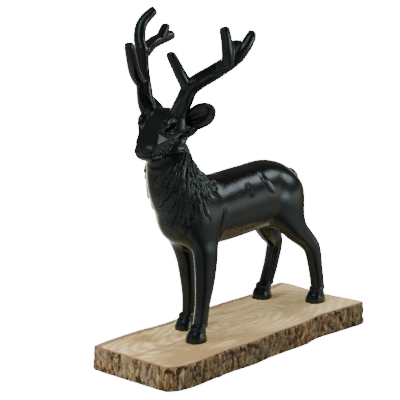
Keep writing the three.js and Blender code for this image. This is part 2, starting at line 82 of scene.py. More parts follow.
# Fineness of the skins.
BODY_VOXEL = 1.25 * MM
FINE_VOXEL = 0.5 * MM
LIMB_SIDES = 24
LIMB_STEPS = 4
MELT = 7 * MM  # how softly the limbs run into the trunk
FAR = 1.0  # a distance that nothing on the figure reaches
FIELD_REACH = 20 * MM  # how far from a limb its distance is worked out
FIELD_STEPS = 7
FLESH_ROUNDS = 4  # times that the skin is drawn onto the flesh
FLESH_PROBE = 0.3 * MM  # step over which the slope of the flesh's distance is taken

# Trunk, neck and tail, in stations: (x, y, z, half width, half depth).
TRUNK = [
    (0, -63, 94, 12, 11.5), (0, -57, 93.5, 18, 17.5), (0, -44, 95, 21, 24), (0, -26, 96.5, 21.5, 27),
    (0, -6, 97.4, 21, 28.2), (0, 18, 98.4, 20.5, 28.2), (0, 40, 99.4, 20.5, 27.8), (0, 57, 97, 19, 24.5),
    (0, 70.5, 92, 13, 18),
]
NECK = [
    (0, -38, 96, 18, 22), (0, -52, 107, 20.5, 25), (0, -63, 121, 20, 23), (0, -70, 137, 18, 18),
    (0, -71, 151, 15.5, 13.5), (0, -68, 162, 11, 10),
]
TAIL = [
    (0, 68, 113.5, 4.6, 4), (0, 76, 111.8, 4.6, 3.6), (0, 82.5, 107.2, 3.6, 2.6),
    (0, 85.5, 102, 1.4, 1.2),
]

# Legs down to their fetlocks, each with the middle of its hoof on the slice.
LEGS = [
    (
        [
            (9, -47, 88, 10, 17.5), (15, -46.3, 74, 8.7, 12.3), (16.3, -46.5, 60, 7.6, 10.6),
            (16.9, -48.4, 44, 6.8, 8.5), (16.6, -50.5, 28, 5.5, 6.6), (16.2, -53, 12, 5.5, 6.2),
        ],
        (16, -56),
    ),
    (
        [
            (-9, -44, 88, 10, 18), (-11, -41, 74, 9.5, 13), (-11.5, -38, 60, 8, 9.5),
            (-11, -36.5, 44, 6.9, 7.8), (-11.2, -35.2, 28, 6, 6.5), (-12.1, -35.2, 12, 5.3, 5.7),
        ],
        (-13, -37),
    ),
    (
        [
            (9, 55, 96, 12, 21), (12, 59, 81, 11.5, 16), (14, 67, 67, 9.2, 10.8), (15.5, 79, 56, 7, 8.4),
            (16.5, 86.5, 46.5, 6.4, 7.8), (17.5, 90.3, 28, 5.8, 6.6), (17.5, 93.3, 12, 5.7, 6.2),
        ],
        (17, 92.3),
    ),
    (
        [
            (-9, 54, 96, 12, 21), (-12, 58, 80, 11.5, 17), (-16, 68, 64, 9.4, 12), (-20, 79, 53, 7.2, 9),
            (-22, 83.5, 45, 6.4, 7.8), (-23, 80.3, 28, 6, 7), (-24, 75, 12, 5.8, 6.4),
        ],
        (-24, 71),
    ),
]

# Hoof, from the fetlock down to the sole, round its middle.
HOOF = [
    (0, 1.5, 14, 5, 5.4), (0, 0.8, 10.8, 6.2, 6.6), (0, 0, 7.5, 6.8, 7.4), (0, -1, 4, 8, 8.8),
    (0, -1.4, -1, 8.2, 9.4),
]
HOOF_RIM = 11.8 * MM  # height of the edge where the horn begins, and of the groove under it
HOOF_GROOVE = 9.6 * MM

# Shoulder blades, haunches and withers: (middle), (half sizes), tilt about X.
MUSCLES = [
    ((12.5, -45, 92), (9.5, 16, 22), 0.25),
    ((-12.5, -42, 92), (9.5, 16, 22), 0.25),
    ((12, 55, 92), (10.5, 18.3, 22), -0.2),
    ((-12, 53, 92), (10.5, 18.3, 22), -0.2),
    ((0, -30, 116), (9, 18, 9), -0.2),
]

# Head, from the back of the skull to the nose: face line (y, z), jaw line (y, z), half widths at both.
HEAD = [
    (-58, 177, -58, 160, 8, 8),
    (-67, 183.5, -64, 153, 13, 11),
    (-77, 183, -72, 149, 15, 11),
    (-85.5, 175.5, -79, 147.5, 16, 9.5),
    (-91.5, 168.5, -84.5, 146.6, 13.2, 8.8),
    (-95, 161.5, -89, 146, 11.2, 8.6),
    (-98, 156, -94, 146, 9.9, 8),
    (-99.5, 153, -97.5, 148.5, 8.4, 6.4),
]
HEAD_TURN = 0.04  # how far the head turns to its right
HEAD_SQUARE = 0.5  # 1 is an oval section, and less is squarer
HEAD_PLANE = (-80, 147)  # (y, z) of a point on the plane from the throat to the nape
HEAD_WAY = (-0.658, 0.752)  # (y, z) of the way from that plane to the head

# Left brow, from above the eye down the edge of the face: (x, y, z, radius).
BROW = [
    (14, -76, 178, 1.6), (13.5, -81.5, 178, 2.3), (12.6, -86.2, 177, 3.1), (12, -88.3, 174, 2.7),
    (11.3, -89.9, 171.3, 2), (10.3, -92, 168, 1.2),
]

# Gullet, and a cheek and an eye on each side: (middle), (half sizes), tilt, yaw.
GULLET = ((0, -81, 151.5), (10, 9.5, 5), 0.1, 0)
FACE_SIDE = [
    ((10, -68, 158), (5, 9, 8), 0.3, 0),
    ((12.2, -80.5, 168.8), (2.4, 3.6, 2.6), 0.4, -0.3),
]
EAR_ROOT = [(9, -62, 163, 5, 4), (13, -61.5, 167.5, 5.5, 6), (17.5, -61.5, 173, 5, 7.6)]

# Antlers: each list is one beam or tine from its root to its blunt tip, as (x, y, z, radius).
ANTLERS = {
    "left_beam": [
        (11, -72, 174, 7), (13, -72, 184, 6.8), (17, -71, 192, 6.6), (19.5, -68.5, 200, 6.4),
        (24, -64, 205.5, 6.4), (31, -57, 211.3, 6.2), (38, -52, 216.8, 6), (45, -47, 223, 5.6),
        (49.5, -41, 230.5, 4.8), (51.3, -36, 238.5, 4.2), (51.2, -34, 243, 2.6),
    ],
    "left_brow": [
        (18.4, -70.5, 203, 5), (17, -75, 211, 4.6), (15.2, -78, 218, 4.2), (12.8, -81.2, 226, 3.7),
        (12.4, -81.8, 228.5, 2.2),
    ],
    "left_front": [
        (43, -52, 219, 5), (44.5, -54, 228, 4.6), (44, -55, 238, 4.3), (43, -56, 245.4, 3.9),
        (42.8, -56.2, 247.4, 2.2),
    ],
    "right_beam": [
        (-10, -76, 174, 6.8), (-15, -79, 186, 6.6), (-20, -76, 197, 6.2), (-27.5, -70, 206, 5.8),
        (-35, -63, 215, 5.7), (-41, -57, 223, 5.4),
    ],
    "right_brow": [
        (-22, -74, 198, 4.8), (-21, -84, 208, 4.6), (-17.8, -91, 219, 4.4), (-16.3, -95.5, 232, 3.8),
        (-16.2, -96, 234.4, 2.2),
    ],
    "right_top": [
        (-39, -58, 221, 5), (-44, -56, 232, 4.8), (-45.4, -51, 243, 4.5), (-42, -42.5, 251.5, 3.8),
        (-41, -41, 253, 2.2),
    ],
    "right_rear": [
        (-39, -56, 221, 5.2), (-44, -42, 226, 4.9), (-45.5, -30, 228.5, 4.7), (-45.8, -18.5, 230.2, 3.9),
        (-45.8, -16, 230.6, 2.4),
    ],
    "right_fork": [
        (-44, -33, 228, 4.4), (-46.4, -25.5, 235, 3.9), (-47, -23, 238, 3.4), (-47.2, -22.4, 239.4, 2),
    ],
}
ANTLER_ACROSS = (0.3, 1, 0)
PALM = ((47, -47.5, 228), (2.8, 9, 9.5), 0, -0.385)

# Left ear and the hollow in its front: (x, y, z, half width, half thickness).
EAR = [
    (10, -63, 171, 5, 4), (14.5, -62, 173.5, 7.8, 4.6), (20.3, -61.5, 177.2, 9, 4.8),
    (27.2, -61, 181.2, 9.2, 4.4), (33.2, -60.5, 184.6, 6.8, 3), (36.8, -60, 186.4, 2.8, 1.5),
]
EAR_HOLLOW = [
    (15, -67, 174, 2.4, 1.6), (20.3, -66.7, 177.7, 6.0, 2.9), (27.2, -66, 182.0, 6.6, 3.1),
    (32.2, -64.4, 185, 4.0, 2.2), (34.6, -63.6, 186.4, 1.2, 1),
]
EAR_FUR_PITCH = 2.9 * MM  # from one ridge of fur to the next
EAR_FUR_HEIGHT = 0.2 * MM

# Mane of carved locks on the neck.
MANE_PITCH = 6.0 * MM  # from one row of locks to the next
MANE_COLUMNS = 30  # locks in a row, right round the neck
MANE_TOP = 3 * MM  # from the top of the neck down
MANE_END = [(-90, 54), (-61, 58), (-25, 62), (7, 66), (50, 69), (90, 68)]  # (angle, length)
MANE_BARE = [(0.84, 0.96), (0.3, 0.6)]  # where it fades out towards the throat, on the left and on the right
MANE_RADIUS = 19.5 * MM
MANE_SEED = 7
LOCK_LENGTH = 12 * MM
LOCK_WIDTH = 1.75 * MM  # half width
LOCK_HEIGHT = 2.8 * MM
LOCK_SINK = 0.3 * MM  # how far the locks are let into the neck

# Short strokes of fur on the cheeks, in rows down and back from the eye.
FUR_ROWS, FUR_COLUMNS = 5, 8
FUR_START = (-89, 164)  # (y, z) of the first stroke
FUR_STEP = 3.4
FUR_SEED = 3

# The left side of the face is drawn flat, looked at from FACE_OUT: (across, up). The right side mirrors it.
FACE_ACROSS = (0.725, 0.689, 0)
FACE_UP = (-0.129, 0.135, 0.982)
FACE_OUT = (0.677, -0.712, 0.187)
FACE_LINES = [  # (points), half width, height
    ([(-56.6, 152.2), (-54.3, 155.2), (-49.4, 157.8), (-45.3, 159.9), (-42.0, 161.8)], 0.9, 0.8),
    ([(-54.0, 153.6), (-50.6, 155.4), (-46.9, 157.0), (-43.2, 158.4)], 1.7, -1.7),
    ([(-48.8, 153.9), (-45.8, 154.8), (-42.6, 155.7)], 0.7, 0.6),
    ([(-52.5, 152.4), (-48.8, 152.1), (-46.2, 151.4), (-42.8, 151.7)], 0.8, 0.7),
    ([(-56.8, 151.8), (-58.1, 148.5), (-59.2, 145.5), (-60.4, 141.4)], 0.8, 0.6),
    ([(-65.4, 137.8), (-62.7, 137.3), (-60.1, 137.9)], 0.9, -1.3),
    ([(-73.1, 136.5), (-69.4, 135.1), (-64.2, 134.2), (-59.0, 134.4)], 0.9, -1.2),
    ([(-73.3, 137.8), (-69.4, 136.4), (-64.2, 135.4), (-59.7, 135.8)], 0.7, 0.4),
    ([(-60.5, 134.2), (-51.5, 134.6), (-44.0, 135.9), (-36.5, 137.4)], 1.3, -1.6),
    ([(-37.1, 137.9), (-35.6, 142.4), (-34.9, 146.9), (-34.3, 149.8)], 1.0, 0.6),
    ([(-35.4, 137.6), (-33.8, 142.4), (-33.2, 146.9), (-32.8, 149.8)], 1.2, -1.1),
    ([(-46.2, 149.5), (-44.0, 147.7), (-44.7, 145.0), (-47.4, 143.6)], 0.7, 0.5),
    ([(-42.1, 149.1), (-39.5, 146.5), (-40.3, 142.8), (-43.6, 140.6)], 0.7, 0.5),
]
FACE_BUMPS = [  # the nose pad and the eye: (middle), (half sizes), height
    ((-63.8, 140.9), (4.4, 3.6), 0.6),
    ((-47.6, 153.6), (2.8, 1.5), 0.9),
]
FACETS = [  # corners, and the way each one faces: the cheek and the nose
    ([(-56.1, 151.9), (-48.5, 148.2), (-58.5, 142.2)], (0.956, -0.226, 0.187)),
    ([(-66.8, 138.6), (-65.5, 142.7), (-60.4, 143.1), (-60.9, 138.9)], (0.42, -0.76, 0.5)),
]
FAR_SIDE = 0.35  # how deep the face is carved on its right side, as a share of the left

# Carved lines on the left side of the body, each mirrored on the right: (points), half width, height.
BODY_LINES = [
    ([(8.7, 20.8, 122.5), (15.2, 23.1, 116.2), (19.0, 28.6, 108.5), (20.6, 35, 101)], 3.6, -0.9),
    ([(16, 12, 75.5), (15, 22, 74.5), (12.5, 32, 73.5), (10.5, 40, 70)], 2.4, 1.5),
    ([(14, 2, 119), (18.5, 3.5, 112), (20.6, 5, 103)], 4.5, -0.5),
    ([(21.6, -27, 108), (22.6, -29, 96), (21.5, -35, 82), (18, -40, 72)], 5.0, -1.1),
    ([(5.4, -15.9, 123.4), (7.7, -6.0, 122.8)], 1.3, 0.6),
    ([(6.5, -17.5, 121.6), (9.2, -7.0, 120.8)], 1.3, -0.7),
]

# Roots of the antlers, flared into the brows: (x, y, z, radius).
ANTLER_ROOTS = [
    [(9.5, -73, 169, 9.6), (10.8, -72.3, 176, 8.2), (12.6, -72, 184, 6.1)],
    [(-9, -75, 169, 9.4), (-11, -76.6, 176, 8), (-14.2, -78.6, 184, 6)],
]

# Bands of cross ridges, (points) and half width, then grooves along the beams and a seam across a tine.
RIDGE_PITCH = 1.7 * MM
RIDGE_HEIGHT = 0.75 * MM
RIDGE_BANDS = [
    ([(-9.5, -81.2, 184), (-15.5, -83.5, 193), (-17.6, -84, 203)], 4.2),
    ([(25.2, -69.6, 208.5), (31.5, -62.6, 214.5), (36.5, -57.5, 218.5)], 4.0),
]
BEAM_GROOVES = [
    [(25.5, -70, 204.5), (33, -62, 210.6), (40, -56.5, 216), (46, -52, 222)],
    [(-11.5, -76.8, 186), (-14.5, -76, 196), (-21, -71, 206), (-29, -64.5, 214)],
]
TINE_SEAM = [(-40, -63.5, 221.5), (-46, -61, 223)]

# Slice of log. Its outline is in shares of its width and length, from the left front corner round.
SLICE_LENGTH = 241 * MM
SLICE_WIDTH = 96 * MM
OUTLINE = [
    (0.32, -0.5), (0.4, -0.492), (0.458, -0.452), (0.479, -0.386), (0.467, -0.29), (0.463, -0.2),
    (0.479, -0.104), (0.458, 0), (0.463, 0.16), (0.43, 0.25), (0.443, 0.332), (0.458, 0.415),
    (0.464, 0.475), (0.396, 0.494), (0, 0.482), (-0.43, 0.497), (-0.505, 0.455), (-0.458, 0.324),
    (-0.469, 0.1), (-0.434, -0.15), (-0.458, -0.31), (-0.438, -0.47), (-0.385, -0.497), (-0.1, -0.5),
]
SLICE_COLUMNS = 1150  # vertices round the slice
SLICE_WALL_TOP = 30  # levels up to the top of the bark's wall, of its chamfer, of the rim and of the wood
SLICE_CHAMFER_TOP = 36
SLICE_RIM_TOP = 45
SLICE_LEVELS = 59
SLICE_EVEN = 20  # columns to each side that the way into the wood is evened over
SPINE_HALF = 0.36  # half length of the line that the top's rings close on, as a share of the length
PLATE_WIDTH = 6.2 * MM
PLATE_HEIGHT = 21 * MM
FISSURE_DEPTH = 1.7 * MM
BARK_RAGGED = 1.8 * MM  # how far up the broken lower edge goes
BARK_UNDER = 2.6 * MM  # from the outline to the edge of the underside
BARK_SEED = 1
CHAMFER_HEIGHT = 1.5 * MM
CHAMFER_DEPTH = 1.3 * MM
RIM_WIDTHS = (2.2 * MM, 6.5 * MM)  # of the inner bark on the near side and on the far side

# Finishes. The ramps are lists of (place, colour).
LACQUER_BLACK = (0.0042, 0.0046, 0.0044, 1)
LACQUER_SHEEN = (0.63, 0.86, 1, 1)  # the cool tint of what it reflects
WOOD_PALE = [(0.36, (0.52, 0.35, 0.13)), (0.5, (0.90, 0.70, 0.33)), (0.62, (1.0, 0.87, 0.47))]
WOOD_RING = (0.47, 0.30, 0.115)
WOOD_BROWN = (0.33, 0.215, 0.09)
WOOD_REAR = (0.84, 0.70, 0.42)
WOOD_REACH = (0.045, 0.118)  # half width and half length of the outermost ring, in metres
WOOD_RINGS = 62.0  # radians of the rings' wave from the heart to the outermost ring, about ten rings
BARK_PLATES = [(0.30, (0.11, 0.066, 0.028)), (0.48, (0.25, 0.16, 0.068)), (0.66, (0.60, 0.46, 0.25))]
BARK_KHAKI = (0.23, 0.215, 0.165)
BARK_FLECK = (0.50, 0.46, 0.35)
# Near black of the fissures: their own darker bark together with painted shade in them and under the slice.
BARK_FISSURE_AND_SHADE = (0.034, 0.017, 0.008)
INNER_BARK_RED = [(0.3, (0.10, 0.045, 0.02)), (0.55, (0.22, 0.115, 0.05)), (0.75, (0.34, 0.21, 0.11))]
INNER_BARK_BAND = [
    (0.0, (0.24, 0.17, 0.11)), (0.5, (0.33, 0.24, 0.15)), (0.72, (0.22, 0.11, 0.045)),
    (1.0, (0.60, 0.40, 0.20)),
]


def select_only(*objects):
    bpy.ops.object.select_all(action="DESELECT")
    for one in objects:
        one.select_set(True)
    bpy.context.view_layer.objects.active = objects[0]


@contextmanager
def editing(piece, chosen="SELECT"):
    """Edit mode on one piece, with all of it selected or none."""
    select_only(piece)
    bpy.ops.object.mode_set(mode="EDIT")
    bpy.ops.mesh.select_all(action=chosen)
    yield
    bpy.ops.object.mode_set(mode="OBJECT")


def smoothstep(low, high, value):
    share = np.clip((value - low) / (high - low), 0, 1)
    return share * share * (3 - 2 * share)


def smooth_line(points, steps):
    """Points along the smooth line through these ones, `steps` to a span."""
    knots = np.array(points, float)
    knots = np.vstack([2 * knots[0] - knots[1], knots, 2 * knots[-1] - knots[-2]])
    line = []
    for i in range(len(points) - 1):
        a, b, c, d = knots[i : i + 4]
        bend = 2 * a - 5 * b + 4 * c - d
        twist = 3 * b - a - 3 * c + d
        line += [0.5 * (2 * b + (c - a) * t + bend * t**2 + twist * t**3) for t in np.arange(steps) / steps]
    line.append(knots[-2])
    return np.array(line)


def sections(stations, across=(1, 0, 0), steps=LIMB_STEPS):
    """Down a limb's smooth line, in metres: middles, ways along, across and deep, and both half sizes."""
    rows = smooth_line([s if len(s) == 5 else (*s, s[3]) for s in stations], steps) * MM
    middles = rows[:, :3]
    along = np.gradient(middles, axis=0)
    along /= norm(along, axis=1)[:, None]
    wide = np.array(across, float) - (along @ np.array(across, float))[:, None] * along
    wide /= norm(wide, axis=1)[:, None]
    return middles, along, wide, np.cross(along, wide), rows[:, 3], rows[:, 4]


def bridged(name, rings):
    """Rings joined into one closed limb."""
    select_only(*rings)
    bpy.ops.object.join()
    whole = bpy.context.object
    whole.name = name
    bpy.ops.object.transform_apply(location=True, rotation=True, scale=True)
    with editing(whole):
        bpy.ops.mesh.bridge_edge_loops(type="SINGLE")
        bpy.ops.mesh.select_all(action="SELECT")
        bpy.ops.mesh.fill_holes(sides=0)
        bpy.ops.mesh.normals_make_consistent(inside=False)
    return whole


def limb(name, stations, across=(1, 0, 0)):
    rings = []
    for middle, along, wide, deep, half_width, half_depth in zip(*sections(stations, across)):
        turn = Matrix((wide, deep, along)).transposed()
        bpy.ops.mesh.primitive_circle_add(
            vertices=LIMB_SIDES, radius=1, location=middle, rotation=turn.to_euler()
        )
        ring = bpy.context.object
        ring.scale = (half_width, half_depth, 1)
        rings.append(ring)
    return bridged(name, rings)


def lump(name, middle, half_sizes, tilt=0, yaw=0):
    """An ellipsoid of flesh or bone."""
    bpy.ops.mesh.primitive_uv_sphere_add(
        segments=32, ring_count=20, radius=1, location=Vector(middle) * MM, rotation=(tilt, 0, yaw)
    )
    ball = bpy.context.object
    ball.name = name
    ball.scale = Vector(half_sizes) * MM
    bpy.ops.object.transform_apply(location=True, rotation=True, scale=True)
    return ball


def rounded_end(station):
    """Closes a limb with an ellipsoid at one of its end stations."""
    x, y, z, half_width, half_depth = station
    return lump("end", (x, y, z), (half_width, min(half_width, half_depth), half_depth))


def mirrored(rows, side):
    return [(side * row[0], *row[1:]) for row in rows]


def apply_modifier(piece, kind, **settings):
    select_only(piece)
    modifier = piece.modifiers.new(kind.lower(), kind)
    for key, value in settings.items():
        setattr(modifier, key, value)
    bpy.ops.object.modifier_apply(modifier=modifier.name)


def cast(name, parts, voxel):
    """Parts run together into one closed skin."""
    select_only(*parts)
    bpy.ops.object.join()
    whole = bpy.context.object
    whole.name = name
    whole.data.name = name
    apply_modifier(whole, "REMESH", mode="VOXEL", voxel_size=voxel)
    return whole


def rows_of(items, name):
    values = np.empty(len(items) * 3)
    items.foreach_get(name, values)
    return values.reshape(-1, 3)


def points_of(piece):
    return rows_of(piece.data.vertices, "co")


def normals_of(piece):
    return rows_of(piece.data.vertices, "normal")


def put_points(piece, points):
    piece.data.vertices.foreach_set("co", points.ravel())
    piece.data.update()


def raise_skin(piece, height):
    """Moves each vertex out along its normal by its height."""
    put_points(piece, points_of(piece) + normals_of(piece) * height[:, None])


def along_line(points, line):
    """Distance to a line of points, and the share of its length at the nearest spot."""
    knots = np.array(line, float) * MM
    lengths = norm(np.diff(knots, axis=0), axis=1)
    passed = np.concatenate([[0], np.cumsum(lengths)])
    nearest = np.full(len(points), FAR)
    share = np.zeros(len(points))
    for start, end, length, before in zip(knots[:-1], knots[1:], lengths, passed):
        t = np.clip((points - start) @ (end - start) / length**2, 0, 1)
        distance = norm(points - start - t[:, None] * (end - start), axis=1)
        closer = distance < nearest
        nearest = np.where(closer, distance, nearest)
        share = np.where(closer, (before + t * length) / passed[-1], share)
    return nearest, share


def stroke(points, line, half_width, height, taper=0.2):
    """Height of a ridge, or of a groove where it is negative, along a line that runs out at both ends."""
    distance, share = along_line(points, line)
    ends = smoothstep(0, taper, share) * smoothstep(0, taper, 1 - share)
    return height * MM * ends * np.clip(1 - (distance / (half_width * MM)) ** 2, 0, 1) ** 1.5


def both_sides(line):
    return [[(side * x, y, z) for x, y, z in line] for side in (1, -1)]


def carved(points, lines, taper=0.2):
    height = np.zeros(len(points))
    for line, half_width, depth in lines:
        for one in both_sides(line):
            height += stroke(points, one, half_width, depth, taper)
    return height


def inside_corners(drawn, corners):
    """How far flat points are inside a shape with these corners."""
    corners = np.array(corners) * MM
    inside = np.full(len(drawn), FAR)
    for start, end in zip(corners, np.roll(corners, -1, axis=0)):
        edge = np.array((end[1] - start[1], start[0] - end[0])) / norm(end - start)
        edge *= math.copysign(1, (corners.mean(0) - start) @ edge)
        inside = np.minimum(inside, (drawn - start) @ edge)
    return inside


def face_relief(points, normals):
    """The carving of the face: brow, eye, nostril, mouth and jaw, and the facets of the cheek and nose."""
    total = np.zeros(len(points))
    plane = np.array([FACE_ACROSS, FACE_UP]).T
    for side, share in ((1, 1), (-1, FAR_SIDE)):
        mirror = np.array((side, 1, 1))
        drawn = (points * mirror) @ plane
        facing = share * smoothstep(0.05, 0.3, (normals * mirror) @ np.array(FACE_OUT))
        on_side = smoothstep(-1 * MM, 1 * MM, side * points[:, 0])
        facing *= on_side * smoothstep(-3 * MM, 0, head_side(points))
        facing *= points[:, 1] < -58 * MM
        for line, half_width, height in FACE_LINES:
            total += facing * stroke(drawn, line, half_width, height, 0.12)
        for middle, half_sizes, height in FACE_BUMPS:
            scaled = norm((drawn - np.array(middle) * MM) / (np.array(half_sizes) * MM), axis=1)
            total += facing * height * MM * np.clip(1 - scaled**2, 0, 1) ** 1.5
        for corners, facet_way in FACETS:
            way = np.array(facet_way) * mirror
            flat = facing * smoothstep(-0.5 * MM, 0.2 * MM, inside_corners(drawn, corners))
            away = points @ way
            level = np.median(away[flat > 0.9 * share]) - 0.2 * MM
            total -= (away - level) * flat / np.clip(normals @ way, 0.6, 1)
    return total


def even_out(piece, weight, rounds):
    """Smooths the skin where the weight says."""
    group = piece.vertex_groups.new(name="even")
    for level in range(1, 11):
        members = np.nonzero(np.round(weight * 10) == level)[0]
        group.add([int(i) for i in members], level / 10, "REPLACE")
    apply_modifier(piece, "SMOOTH", factor=0.5, iterations=rounds, vertex_group=group.name)
    piece.vertex_groups.clear()


def refine(piece, where):
    """Splits the faces whose middles are where the mask function says."""
    bpy.context.tool_settings.mesh_select_mode = (False, False, True)
    with editing(piece, "DESELECT"):
        pass
    piece.data.polygons.foreach_set("select", where(rows_of(piece.data.polygons, "center")))
    bpy.ops.object.mode_set(mode="EDIT")
    bpy.ops.mesh.subdivide(number_cuts=1, smoothness=0)
    bpy.ops.object.mode_set(mode="OBJECT")


# The flesh as a distance: each limb and muscle has its own, and they melt where they meet.
def ellipse_distance(offset, scaled, smallest):
    length = norm(offset, axis=1)
    return np.where(scaled < 1e-3, -smallest, length - length / np.maximum(scaled, 1e-3))


def limb_distance(points, stations):
    middles, along, wide, deep, widths, depths = sections(stations, steps=FIELD_STEPS)
    reach = max(widths.max(), depths.max()) + FIELD_REACH
    close = np.all((points > middles.min(0) - reach) & (points < middles.max(0) + reach), axis=1)
    near = points[close]
    best = np.full(len(near), FAR)
    for i in range(len(middles) - 1):
        span = middles[i + 1] - middles[i]
        offset = near - middles[i]
        share = np.clip(offset @ span / (span @ span), 0, 1)
        offset -= share[:, None] * span
        half_width = widths[i] + share * (widths[i + 1] - widths[i])
        half_depth = depths[i] + share * (depths[i + 1] - depths[i])
        smallest = np.minimum(half_width, half_depth)
        scaled = np.sqrt(
            (offset @ wide[i] / half_width) ** 2
            + (offset @ deep[i] / half_depth) ** 2
            + (offset @ along[i] / smallest) ** 2
        )
        best = np.minimum(best, ellipse_distance(offset, scaled, smallest))
    distance = np.full(len(points), FAR)
    distance[close] = best
    return distance


def lump_distance(points, middle, half_sizes, tilt):
    turn = np.array(Matrix.Rotation(tilt, 3, "X"))
    offset = (points - np.array(middle) * MM) @ turn
    sizes = np.array(half_sizes) * MM
    return ellipse_distance(offset, norm(offset / sizes, axis=1), sizes.min())


def flesh_distance(points):
    fields = [limb_distance(points, TRUNK), limb_distance(points, NECK)]
    fields += [limb_distance(points, line) for line, _ in LEGS]
    fields += [lump_distance(points, *muscle) for muscle in MUSCLES]
    melted = np.full(len(points), FAR)
    for field in fields:
        near = np.maximum(MELT - np.abs(melted - field), 0) / MELT
        melted = np.minimum(melted, field) - near * near * MELT / 4
    return melted


def head_side(points):
    """How far a point is on the head's side of the plane from the throat to the nape."""
    y, z = HEAD_PLANE
    return (points[:, 1] - y * MM) * HEAD_WAY[0] + (points[:, 2] - z * MM) * HEAD_WAY[1]


def tail_side(points):
    """1 round the tail and 0 elsewhere."""
    distance, _ = along_line(points, [station[:3] for station in TAIL])
    return (1 - smoothstep(5 * MM, 8 * MM, distance)) * smoothstep(70 * MM, 76 * MM, points[:, 1])


def draw_onto_flesh(piece):
    """Draws the skin onto the flesh, but not the head, the tail and the hooves, which are drawn already."""
    for _ in range(FLESH_ROUNDS):
        points = points_of(piece)
        normals = normals_of(piece)
        here = flesh_distance(points)
        slope = (flesh_distance(points + normals * FLESH_PROBE) - here) / FLESH_PROBE
        weight = 1 - smoothstep(4 * MM, 8 * MM, np.abs(here))
        weight *= (1 - smoothstep(-4 * MM, 0, head_side(points))) * (1 - tail_side(points))
        weight *= smoothstep(12 * MM, 16 * MM, points[:, 2])
        step = np.clip(-here / np.maximum(slope, 0.5), -2 * MM, 2 * MM)
        put_points(piece, points + normals * (step * weight)[:, None])


def head_solid():
    rows = smooth_line(HEAD, LIMB_STEPS) * MM

    def soft(value):
        return np.sign(value) * abs(value) ** HEAD_SQUARE

    rings = []
    for face_y, face_z, jaw_y, jaw_z, face_half, jaw_half in rows:
        bpy.ops.mesh.primitive_circle_add(vertices=2 * LIMB_SIDES, radius=1)
        ring = bpy.context.object
        for vertex in ring.data.vertices:
            up = (soft(vertex.co.y) + 1) / 2
            side = soft(vertex.co.x) * (jaw_half + (face_half - jaw_half) * up)
            ahead = jaw_y + (face_y - jaw_y) * up
            vertex.co = (side + HEAD_TURN * (ahead + 60 * MM), ahead, jaw_z + (face_z - jaw_z) * up)
        rings.append(ring)
    return bridged("head", rings)


def hoof_solid(name, x, y):
    rows = [(x + a, y + b, z, half_width, half_depth) for a, b, z, half_width, half_depth in HOOF]
    return limb(name, rows)


def neck_place(points):
    """Where points are on the neck: distance down from its top, angle round from its left side, radius."""
    middles, along, wide, deep, widths, depths = sections(NECK, steps=8)
    down = np.concatenate([[0], np.cumsum(norm(np.diff(middles, axis=0), axis=1))])
    down = down[-1] - down
    nearest = np.argmin(norm(points[:, None, :] - middles[None, :, :], axis=2), axis=1)
    offset = points - middles[nearest]
    distance_down = down[nearest] - np.einsum("ij,ij->i", offset, along[nearest])
    a = np.einsum("ij,ij->i", offset, wide[nearest]) / widths[nearest]
    b = np.einsum("ij,ij->i", offset, deep[nearest]) / depths[nearest]
    return distance_down, np.arctan2(b, a), np.hypot(a, b)


def mane_height(points):
    """Height of the carved locks. Angle 90 degrees is the nape and -90 the throat."""
    down, angle, radius = neck_place(points)
    rng = np.random.default_rng(MANE_SEED)
    height = np.zeros(len(points))
    end_angles, ends = np.array(MANE_END, float).T
    rows = int((ends.max() * MM - MANE_TOP) / MANE_PITCH)
    for row in range(rows):
        for column in range(MANE_COLUMNS):
            root = 2 * math.pi * (column + 0.5 * (row % 2) + rng.uniform(-0.3, 0.3)) / MANE_COLUMNS
            root = (root + math.pi) % (2 * math.pi) - math.pi
            top = MANE_TOP + MANE_PITCH * (row + rng.uniform(-0.4, 0.4))
            size = rng.uniform(0.75, 1.2)
            front = -math.sin(root)  # 1 at the throat, -1 at the nape
            lean = 0.5 + 0.35 * front + rng.uniform(-0.22, 0.22)
            sideways = -math.copysign(math.sin(lean), math.cos(root))
            end = np.interp(math.degrees(math.asin(-front)), end_angles, ends) * MM
            bare = MANE_BARE[0 if math.cos(root) > 0 else 1]
            tall = LOCK_HEIGHT * (1 - smoothstep(*bare, front)) * rng.uniform(0.6, 1.1)
            tall *= 1 - smoothstep(end - 12 * MM, end - 4 * MM, top)
            turn = (angle - root + math.pi) % (2 * math.pi) - math.pi
            across_skin = turn * MANE_RADIUS
            down_skin = down - top
            along = (across_skin * sideways + down_skin * math.cos(lean)) / (LOCK_LENGTH * size)
            half_width = LOCK_WIDTH * rng.uniform(0.8, 1.2)
            beside = (across_skin * math.cos(lean) - down_skin * sideways) / half_width
            inside = (along > 0) & (along < 1)
            share = np.clip(along, 0, 1)
            taper = np.sqrt(np.sin(math.pi * share**0.8) + 1e-6)
            profile = np.clip(1 - np.abs(beside / np.maximum(taper, 0.05)) ** 1.5, 0, 1)
            lock = tall * profile * (0.45 + 0.55 * share)
            height = np.maximum(height, np.where(inside, lock, 0))
    on_neck = smoothstep(1.6, 1.3, radius)
    below_jaw = 1 - smoothstep(-7 * MM, -2 * MM, head_side(points))
    return (height - LOCK_SINK * np.clip(height / MM, 0, 1)) * on_neck * below_jaw


def fur_strokes(points):
    rng = np.random.default_rng(FUR_SEED)
    height = np.zeros(len(points))
    on_side = np.abs(points[:, 0]) > 6 * MM
    for row in range(FUR_ROWS):
        for column in range(FUR_COLUMNS):
            y = FUR_START[0] + FUR_STEP * column + rng.uniform(-1, 1)
            z = FUR_START[1] - FUR_STEP * row + rng.uniform(-1, 1)
            if z > 172 + 0.75 * (y + 70):
                continue
            line = [(y, z), (y + rng.uniform(1.5, 3), z - FUR_STEP)]
            height += stroke(points[:, 1:], line, 0.8, 0.5) * on_side
    return height * smoothstep(0, 6 * MM, head_side(points))


